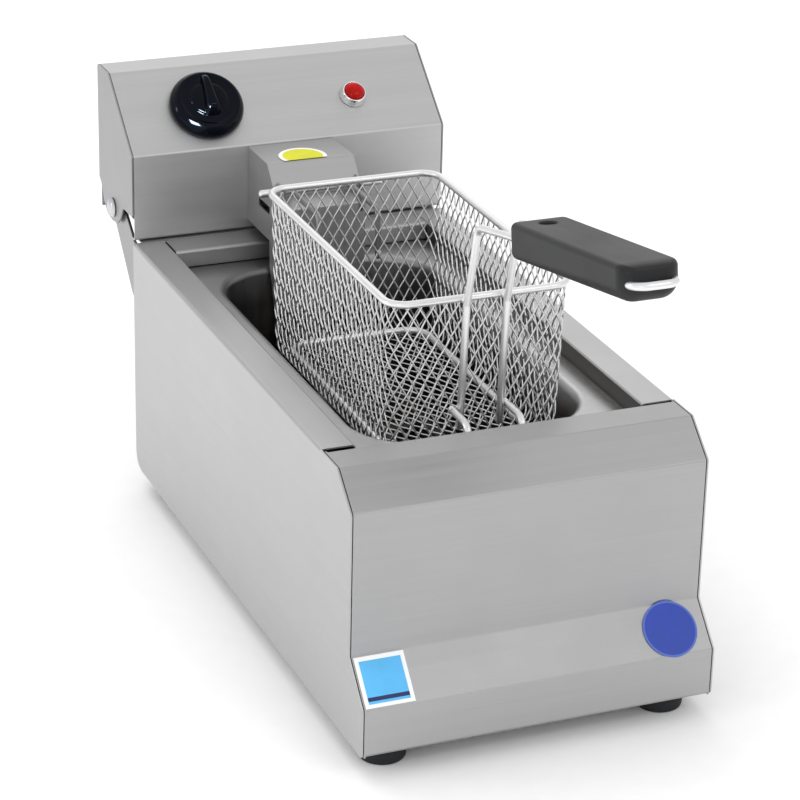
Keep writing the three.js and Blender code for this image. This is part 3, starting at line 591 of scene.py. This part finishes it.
inner = pan_rings(0)
outer = pan_rings(1.0)
RIM = {"half": 86.8, "front": 67.9, "rear": 392.9}
RIM_EDGE = ((0.4, 148), (0, 147.7), (0, 147.3), (0.4, 147))
edge = [ring_points(RIM["half"] - d, RIM["front"] + d, RIM["rear"] - d, 3.0, z, 14) for d, z in RIM_EDGE]
pan = new_object("pan_drawn", "base", PAN_METAL, loft(inner + edge + list(reversed(outer))))
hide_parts("oil_pan")
soften(pan, 0.00005, 80.0, 1)

# ---- Heating element and thermostat capillary
ELEMENT = {"tail": 22, "outer": 48, "inner": 16, "back": 367, "front": 105, "high": 190, "low": 60}


def element_half(s):
    e = ELEMENT
    return [
        (s * e["tail"], 440, e["high"]), (s * e["tail"], e["back"], e["high"]),
        (s * e["tail"], e["back"], e["low"]), (s * e["outer"], e["back"], e["low"]),
        (s * e["outer"], e["front"], e["low"]), (s * e["inner"], e["front"], e["low"]),
        (s * e["inner"], 335, e["low"]),
    ]


element = pipe(rounded(corners(element_half(-1) + element_half(1)[::-1]), 0.012, 8), 0.004, 18)
pin_ends = [[(s * ELEMENT["tail"], y, ELEMENT["high"]) for y in (439, 446)] for s in (-1, 1)]
pins = [pipe(corners(ends), 0.0018, 12) for ends in pin_ends]
wire("element_tube", "head", ELEMENT_METAL, [element, *pins], ["heating_element"])
capillary_path = [(-51, 455, 219), (-51, 455, 198), (0, 455, 198), (0, 367, 198), (0, 367, 70), (0, 326, 70)]
capillary = pipe(rounded(corners(capillary_path), 0.007, 6), 0.0012, 10)
bulb = pipe(corners([(0, 226, 70), (0, 328, 70)]), 0.0032, 20)
wire("thermostat_sensor", "head", COPPER_METAL, [capillary, bulb], ["thermostat_bulb"])

# ---- Basket wires
GRIP = {"length": 141.0, "thick": 20.4, "rise": math.radians(9.7), "start": 34.7, "top": 296.7}


def in_grip(x, ahead, below):
    a = GRIP["rise"]
    return (
        x,
        GRIP["start"] - ahead * math.cos(a) - below * math.sin(a),
        GRIP["top"] + ahead * math.sin(a) - below * math.cos(a),
    )


BASKET = {"half": 58.7, "front": 98.0, "rear": 310.7, "rim_z": 227.2}
WIRE = 2.2  # radius of the thick wires, in mm
RING_INSET = 12.8
HANDLE_X, HOOK_X, ARM_X = 12.5, 17, 20
BAR = {"half": 42.5, "y": 362, "z": 205}
HOOK_Z = 158


def handle_half(s):
    x = s * HANDLE_X
    return [
        (x, 99.4, 146), (x, 94.6, 225), (x, 82, 276),
        in_grip(x, -8, GRIP["thick"] / 2),
        in_grip(x, GRIP["length"] + 5.7, GRIP["thick"] / 2),
    ]


def basket_ring(inset, corner, z):
    return ring_points(BASKET["half"] - inset, BASKET["front"] + inset, BASKET["rear"] - inset, corner, z)


rim = pipe(basket_ring(WIRE, 12.0, BASKET["rim_z"]), WIRE * MM, 18, closed=True)
wire("rim_wire", "basket", WIRE_METAL, [rim], ["basket_rim"])
ring = pipe(basket_ring(RING_INSET, 13.8, 125.2), WIRE * MM, 16, closed=True)
wire("floor_ring_wire", "basket", WIRE_METAL, [ring], ["basket_bottom_ring"])
handle = pipe(rounded(corners(handle_half(-1) + handle_half(1)[::-1]), 0.008, 10), WIRE * MM, 16)
wire("handle_wire", "basket", WIRE_METAL, [handle], ["basket_handle_wire"])
for hand, s in (("left", -1), ("right", 1)):
    x = s * HOOK_X
    path = rounded(corners([(x, 100.6, HOOK_Z), (x, 76, HOOK_Z), (x, 76, 148.3)]), 0.008, 10)
    hook = pipe(path, WIRE * MM, 16)
    wire(f"front_hook_wire_{hand}", "basket", WIRE_METAL, [hook], [f"basket_front_hook_{hand}"])
bar = pipe(corners([(x, BAR["y"], BAR["z"]) for x in (-BAR["half"], BAR["half"])]), 0.0025, 18)
arms = []
for x in (-ARM_X, ARM_X):
    path = rounded(corners([(x, 310, 172), (x, 311.4, BAR["z"]), (x, BAR["y"], BAR["z"])]), 0.005, 8)
    arms.append(pipe(path, 0.002, 14))
wire("rear_bar_wire", "basket", WIRE_METAL, [bar], ["basket_rear_bar"])
# The arms carry painted shade, a darker copy of the bar's wire.
wire("rear_arm_wires", "basket", SHADED_ARM_WIRE, arms, ["basket_rear_bar"])


# ---- Basket mesh: two families of wires woven over and under each other
PITCH = 7.6
LEAN = 1 / math.tan(math.radians(60))
MESH_WIRE = 0.00054  # radius, in metres
WEAVE = 0.26  # how far a wire swings over and under the middle surface
NOMINAL_INSET = 3.7
MID_INSET = {"top": 2.6, "low": 4.9}
EDGE = 7.4
FLOOR_Z = 121.6
WALL_LOW, WALL_HIGH = 129.0, 226.6
MIDDLE_OF_BASKET = (BASKET["front"] + BASKET["rear"]) / 2
HALF_LENGTH = (BASKET["rear"] - BASKET["front"]) / 2
MESH_CORNER = 11.4


def tub_profile(v):
    """Inset, height and the way out of the tub's middle surface, v along its side from the floor's edge."""
    turn = min(v / EDGE, math.pi / 2)
    inset = MID_INSET["low"] + EDGE * (1 - math.sin(turn))
    z = FLOOR_Z + EDGE * (1 - math.cos(turn))
    wall = max(v - EDGE * math.pi / 2, 0.0)
    inset -= (MID_INSET["low"] - MID_INSET["top"]) * wall / (WALL_HIGH - WALL_LOW)
    return inset, z + wall, math.sin(turn), -math.cos(turn)


def around_tub(u, inset, z, lift):
    """The point u along the tub's rounded outline, measured on its nominal size."""
    nominal = (BASKET["half"] - NOMINAL_INSET - MESH_CORNER, HALF_LENGTH - NOMINAL_INSET - MESH_CORNER)
    arc = MESH_CORNER * math.pi / 2
    u %= 4 * (nominal[0] + nominal[1] + arc)
    side = 0
    while True:
        along = nominal[1] if side % 2 == 0 else nominal[0]
        if u <= 2 * along:
            curved, f = False, u / (2 * along)
            break
        u -= 2 * along
        if u <= arc:
            curved, f = True, u / arc
            break
        u -= arc
        side += 1
    radius = MESH_CORNER - max(inset - MID_INSET["low"], 0.0) / 2
    half_x = BASKET["half"] - inset - radius
    half_y = HALF_LENGTH - inset - radius
    heading = math.radians(90 * side)
    c, s = math.cos(heading), math.sin(heading)
    ahead, out = (half_y, half_x) if side % 2 == 0 else (half_x, half_y)
    reach = radius + lift
    if curved:
        a = heading + math.pi / 2 * f
        x = out * c - ahead * s + reach * math.cos(a)
        y = out * s + ahead * c + reach * math.sin(a)
    else:
        along = (2 * f - 1) * ahead
        x = (out + reach) * c - along * s
        y = (out + reach) * s + along * c
    return at(x, MIDDLE_OF_BASKET + y, z)


def side_wires():
    nominal = BASKET["half"] + HALF_LENGTH - 2 * (NOMINAL_INSET + MESH_CORNER)
    total = 4 * nominal + 2 * math.pi * MESH_CORNER
    count = round(total / PITCH)
    pitch = total / count
    crossing = pitch / (2 * LEAN)
    length = EDGE * math.pi / 2 + WALL_HIGH - WALL_LOW
    steps = int(length / crossing * 4)
    parts = []
    for family in (-1, 1):
        for i in range(count):
            path = []
            for k in range(steps + 1):
                v = length * k / steps
                inset, z, out, down = tub_profile(v)
                lift = family * WEAVE * math.cos(math.pi * v / crossing)
                path.append(around_tub(i * pitch + family * v * LEAN, inset, z + lift * down, lift * out))
            parts.append(pipe(path, MESH_WIRE, 5, domed=False))
    return parts


def floor_wires():
    """Straight wires clipped to the floor's rounded outline."""
    inset = MID_INSET["low"] + EDGE
    half_x, half_y = BASKET["half"] - inset, HALF_LENGTH - inset
    radius = MESH_CORNER - EDGE / 2

    def inside(x, y):
        dx, dy = abs(x) - (half_x - radius), abs(y) - (half_y - radius)
        if dx > 0 and dy > 0:
            return dx * dx + dy * dy < radius * radius
        return abs(x) < half_x and abs(y) < half_y

    crossing = PITCH / (2 * LEAN)
    span = int(half_y / crossing * 4) + 1
    far = int((half_y * LEAN + half_x) / PITCH) + 1
    parts = []
    for family in (-1, 1):
        for i in range(-far, far + 1):
            path = []
            for k in range(-span, span + 1):
                v = k * crossing / 4
                x = i * PITCH + family * v * LEAN
                if inside(x, v):
                    lift = family * WEAVE * math.cos(math.pi * v / crossing)
                    path.append(at(x, MIDDLE_OF_BASKET + v, FLOOR_Z + lift))
            if len(path) > 3:
                parts.append(pipe(path, MESH_WIRE, 5, domed=False))
    return parts


wire("basket_wire_mesh", "basket", MESH_METAL, side_wires() + floor_wires(), ["basket_mesh"])


# ---- Weld beads where thick wires meet
def bead(point, size):
    b = bmesh.new()
    bmesh.ops.create_icosphere(b, subdivisions=2, radius=1.0)
    for v in b.verts:
        wobble = 1 + 0.08 * math.sin(9 * v.co.x + 7 * v.co.z) + 0.06 * math.cos(11 * v.co.y)
        v.co = Vector((v.co.x * size[0], v.co.y * size[1], v.co.z * size[2])) * MM * wobble + at(*point)
    verts = [v.co.copy() for v in b.verts]
    faces = [tuple(v.index for v in f.verts) for f in b.faces]
    b.free()
    return verts, faces


welds = []
for s in (-1, 1):
    welds.append(bead((s * HANDLE_X, 97.4, 227), (2.4, 1.6, 2.0)))
    welds.append(bead((s * HANDLE_X, 100.6, 149), (2.2, 1.5, 2.8)))
    welds.append(bead((s * HOOK_X, 101.2, HOOK_Z), (2.4, 1.5, 2.4)))
    welds.append(bead((s * ARM_X, 309.0, 176), (1.8, 1.6, 2.8)))
    welds.append(bead((s * ARM_X, BAR["y"], BAR["z"]), (2.2, 3.0, 2.8)))
new_object("weld_beads", "basket", WIRE_METAL, merged(welds))

# ---- Grip: a moulded bar with rounded edges and a hanging hole
GRIP_WIDTH = 34.5
GRIP_ENDS = {"rear": {"plan": 7.0, "top": 2.6, "low": 2.6}, "front": {"plan": 9.0, "top": 3.4, "low": 9.0}}


def grip_section(ahead, half, top, low):
    """A rounded rectangle across the grip, from its top down, its lower corners rounder near the front."""
    most = min((low - top) / 2, half) - 0.2
    upper = min(3.4, most)
    lower = min(3.8 + 6.2 * smooth_step(GRIP["length"] - 34, GRIP["length"] - 6, ahead), most)
    out = []
    for side, radius, level, first in (
        (1, upper, top + upper, 0), (-1, upper, top + upper, 90),
        (-1, lower, low - lower, 180), (1, lower, low - lower, 270),
    ):
        for k in range(9):
            a = math.radians(first + 90 * k / 8)
            x = side * (half - radius) + radius * math.cos(a)
            out.append(at(*in_grip(x, ahead, level - radius * math.sin(a))))
    return out


def grip_end(end, angles, place):
    """The sections of one end, swelling from its rounded tip to the full bar."""
    half, thick = GRIP_WIDTH / 2, GRIP["thick"]
    rings = []
    for a in angles:
        gone = 1 - math.sin(a)
        ahead = place(end["plan"] * (1 - math.cos(a)))
        top, low = end["top"] * gone, thick - end["low"] * gone
        rings.append(grip_section(ahead, half - end["plan"] * gone, top, low))
    return rings


def grip_stations():
    steps = [math.radians(90 * k / 8) for k in range(9)]
    rear = grip_end(GRIP_ENDS["rear"], steps, lambda run: run)
    front = grip_end(GRIP_ENDS["front"], steps[::-1], lambda run: GRIP["length"] - run)
    return rear + front


grip = new_object("grip_moulding", "basket", GRIP_PLASTIC, loft(grip_stations()))
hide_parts("basket_grip")
tilt = Matrix.Rotation(-GRIP["rise"], 4, "X")
drill_place = Matrix.Translation(at(*in_grip(0, 16, 10))) @ tilt
drill_profile = [(0, -14), (4.9, -14), (4.6, -8.5), (4.6, 8.5), (6.6, 11.6), (6.6, 14), (0, 14)]
drill = new_object("drill", "basket", GRIP_PLASTIC, turned(drill_profile, drill_place, 40))
hole = grip.modifiers.new("hole", "BOOLEAN")
hole.operation, hole.solver, hole.object = "DIFFERENCE", "EXACT", drill
drilled = bpy.data.meshes.new_from_object(grip.evaluated_get(bpy.context.evaluated_depsgraph_get()))
grip.modifiers.clear()
grip.data = drilled
bpy.data.objects.remove(drill)
soften(grip, 0.0006, 35.0)

# ---- Knob: a domed skirt with a finger ridge across it
SLANT_LOW, SLANT_HIGH = (418.6, 219), (469, 261)
SLANT = math.atan2(SLANT_HIGH[1] - SLANT_LOW[1], SLANT_HIGH[0] - SLANT_LOW[0])


def on_slant(x, along):
    """A place on the head's slanted panel, x across and along up it, with +Z out of the panel."""
    y = SLANT_LOW[0] + along * math.cos(SLANT)
    z = SLANT_LOW[1] + along * math.sin(SLANT)
    return Matrix.Translation(at(x, y, z)) @ Matrix.Rotation(SLANT, 4, "X")


def smooth_max(a, b, k):
    h = max(k - abs(a - b), 0.0) / k
    return max(a, b) + h * h * k * 0.25


KNOB_LIP = 20.6
DISH = {"height": 10.3, "rise": 0.5, "from": 17.4, "to": 19.6}
HUB = {"height": 13.0, "crown": 0.9, "radius": 12.6, "drop": 4.0, "from": 11.6, "to": 14.4}
RIDGE = {"height": 18.4, "half": 5.0, "taper": 0.13, "middle": 2.6, "reach": 16.2}


def knob_height(x, y):
    """The knob's top: a shallow dish inside a raised lip, a round hub, and a finger ridge that points up."""
    r = math.hypot(x, y)
    dish = DISH["height"] + DISH["rise"] * smooth_step(DISH["from"], DISH["to"], r)
    crown = HUB["crown"] * (r / HUB["radius"]) ** 2
    hub = HUB["height"] - crown - HUB["drop"] * smooth_step(HUB["from"], HUB["to"], r)
    across = abs(x) / (RIDGE["half"] - RIDGE["taper"] * y)
    along = abs(y - RIDGE["middle"]) / RIDGE["reach"]
    ridge = RIDGE["height"] * max(1 - (across ** 4 + along ** 6), 0.0) ** 0.45
    return smooth_max(smooth_max(dish, hub, 1.4), ridge, 2.6)


KNOB_SIDE = (
    (21.1, 10.5), (21.8, 9.9), (22.6, 9.0), (23.4, 7.9), (24.1, 6.6), (24.6, 5.2), (24.9, 3.8), (25.0, 2.4),
    (24.7, 1.4), (24.0, 1.0), (20.0, 1.0), (0.0, 1.0),
)


def knob():
    place = on_slant(-51, 31.5)
    segments = 140
    radii = [KNOB_LIP * k / 52 for k in range(53)]
    verts, faces, rows = [], [], []
    for r, h in [(r, None) for r in radii] + list(KNOB_SIDE):
        row = []
        for k in range(1 if r == 0 else segments):
            a = 2 * math.pi * k / segments
            x, y = r * math.cos(a), r * math.sin(a)
            row.append(len(verts))
            verts.append(place @ (Vector((x, y, knob_height(x, y) if h is None else h)) * MM))
        rows.append(row)
    for low, high in zip(rows, rows[1:]):
        for k in range(segments):
            n = (k + 1) % segments
            quad = [low[k % len(low)], high[k % len(high)], high[n % len(high)], low[n % len(low)]]
            face = tuple(dict.fromkeys(quad))
            if len(face) > 2:
                faces.append(face)
    return verts, faces


knob_piece = new_object("knob_moulding", "knob", KNOB_PLASTIC, knob())
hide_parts("thermostat_knob")

# ---- Pilot lamp
lamp = on_slant(52.6, 29.6)
bezel_profile = [
    (6.9, 0.3), (9.1, 0.3), (9.3, 0.5), (9.3, 1.2), (9.1, 1.9), (8.1, 4.8), (7.9, 5.2), (7.6, 5.5),
    (7.3, 5.6), (7.0, 5.4), (6.9, 5.1), (6.9, 0.3),
]
bezel = new_object("lamp_bezel_ring", "head", LAMP_CHROME, turned(bezel_profile, lamp))
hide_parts("lamp_bezel")
lens_profile = [
    (0, -8), (5.9, -8), (5.9, 0.6), (6.6, 0.6), (6.6, 5.2), (6.5, 5.9), (6.1, 6.7), (5.3, 7.5), (4.1, 8.2),
    (2.5, 8.7), (1.2, 8.9), (0, 9),
]
lens = new_object("lamp_lens_cap", "head", RED_LENS, turned(lens_profile, lamp))
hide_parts("lamp_lens")

# ---- Feet, pivot bolt heads, reset button and cable gland
foot_profile = [
    (2.8, -0.4), (2.8, -6), (5.6, -6), (6, -6.4), (6, -13.6), (6.4, -14), (12.3, -14), (13.3, -13.6),
    (13.9, -12.6), (14.3, -9), (14.9, -1.2), (14.6, -0.5), (2.8, -0.4),
]
FOOT_X = 88
for end, y in (("front", 24), ("rear", 388)):
    for hand, s in (("left", -1), ("right", 1)):
        shape = turned(foot_profile, Matrix.Translation(at(s * FOOT_X, y, 0)))
        foot = new_object(f"foot_moulding_{end}_{hand}", "base", FOOT_RUBBER, shape)
        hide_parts(f"foot_{end}_{hand}")
bolt_profile = [
    (0, 99), (3.5, 99), (3.9, 99.5), (3.9, 110.3), (6.3, 110.3), (6.6, 110.6), (6.6, 110.9), (6.0, 111.9),
    (4.9, 112.7), (3.4, 113.2), (1.8, 113.45), (0, 113.5),
]
PIVOT = (0, 462, 170)
for hand, s in (("left", -1), ("right", 1)):
    axis = Matrix.Translation(at(*PIVOT)) @ Matrix.Rotation(math.radians(90 * s), 4, "Y")
    bolt = new_object(f"pivot_bolt_domed_{hand}", "base", ZINC_METAL, turned(bolt_profile, axis, 48))
    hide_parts(f"pivot_bolt_{hand}")
facing_back = Matrix.Rotation(math.radians(-90), 4, "X")
button_profile = [(0, -4), (3.4, -4), (3.4, 3.2), (3.2, 3.8), (2.6, 4.15), (0.8, 4.0), (0, 3.9)]
button_shape = turned(button_profile, Matrix.Translation(at(-60, 493, 186)) @ facing_back, 40)
button = new_object("reset_button_cap", "reset", RED_PLASTIC, button_shape)
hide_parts("reset_button")


ROUND, RIBBED, HEXAGON = range(3)


def gland():
    """Hexagon, ribbed clamping cap and a soft inner grommet, hollow for a cord."""
    place = Matrix.Translation(at(60, 493.3, 186)) @ facing_back
    segments = 72
    rows = []
    profile = [
        (4.5, -9.0, ROUND), (9.8, -9.0, ROUND), (9.8, 0.0, ROUND), (13.0, 0.0, HEXAGON),
        (13.0, 4.6, HEXAGON), (12.2, 5.2, HEXAGON), (10.2, 5.3, ROUND), (10.2, 6.0, RIBBED),
        (10.2, 14.5, RIBBED), (9.2, 17.4, RIBBED), (7.6, 18.6, ROUND), (5.4, 18.7, ROUND),
        (4.5, 18.2, ROUND), (4.5, -9.0, ROUND),
    ]
    verts, faces = [], []
    for r, h, kind in profile:
        row = []
        for k in range(segments):
            a = 2 * math.pi * k / segments
            reach = r
            if kind == HEXAGON:
                reach = r * math.cos(math.pi / 6) / math.cos((a % (math.pi / 3)) - math.pi / 6)
            if kind == RIBBED:
                reach = r * (1 + 0.018 * math.cos(18 * a))
            row.append(len(verts))
            verts.append(place @ (Vector((reach * math.cos(a), reach * math.sin(a), h)) * MM))
        rows.append(row)
    for low, high in zip(rows, rows[1:]):
        for k in range(segments):
            n = (k + 1) % segments
            faces.append((low[k], low[n], high[n], high[k]))
    return verts, faces


gland_piece = new_object("cable_gland_ribbed", "head", BLACK_NYLON, gland())
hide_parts("cable_gland")
soften(gland_piece, 0.0002, 45.0)

# ---- Floor and light
floor_mesh = bpy.data.meshes.new("floor")
floor_mesh.from_pydata([(-6, -6, 0), (6, -6, 0), (6, 6, 0), (-6, 6, 0)], [], [(0, 1, 2, 3)])
floor = bpy.data.objects.new("floor", floor_mesh)
bpy.context.scene.collection.objects.link(floor)
f = Nodes("floor_white")
grain = f.noise(f.coordinates, 60.0, 3.0)
tone = f.ramp(grain, [(0.3, (0.93, 0.93, 0.93)), (0.7, (0.95, 0.95, 0.95))])
floor_mesh.materials.append(f.set(Base_Color=tone, Roughness=0.9))


def area(name, place, target, size, power, glossy):
    data = bpy.data.lights.new(name, "AREA")
    data.shape = "RECTANGLE"
    data.size, data.size_y = size
    data.energy = power
    obj = bpy.data.objects.new(name, data)
    bpy.context.scene.collection.objects.link(obj)
    obj.location = place
    obj.rotation_euler = (Vector(target) - Vector(place)).to_track_quat("-Z", "Y").to_euler()
    obj.visible_glossy = glossy
    return obj


area("left_softbox", (-2.2, -0.3, 1.3), (0, 0, 0.15), (1.8, 1.4), 9, False)
area("top_softbox", (-0.5, 0.9, 2.2), (0, 0, 0.1), (2.4, 2.0), 22, False)
area("rear_softbox", (0.6, 1.9, 1.5), (0, 0, 0.15), (1.6, 1.0), 3, True)
area("front_softbox", (1.2, -2.4, 1.6), (0, 0, 0.15), (1.4, 1.2), 7, False)
area("edge_strip", (0.85, -1.85, 1.97), (0, 0.2, 0.2), (1.2, 0.2), 5, True)
area("window_left", (-2.3, 0.7, 0.75), (0, 0, 0.2), (0.3, 0.5), 4, True)
area("window_front", (-1.7, -1.95, 1.15), (0, 0.24, 0.25), (0.5, 0.3), 3, True)
# This one lights the knob alone, for the bright window that its gloss reflects.
knob_window = area("knob_window", (-1.34, -1.52, 0.5), (-0.051, 0.244, 0.254), (1.0, 0.8), 420, True)
knob_only = bpy.data.collections.new("knob_only")
knob_only.objects.link(knob_piece)
knob_window.light_linking.receiver_collection = knob_only

world = bpy.data.worlds.new("studio")
world.use_nodes = True
world.node_tree.nodes["Background"].inputs["Color"].default_value = (1.0, 1.0, 1.0, 1)
world.node_tree.nodes["Background"].inputs["Strength"].default_value = 0.84
bpy.context.scene.world = world
bpy.context.scene.view_settings.view_transform = "Standard"
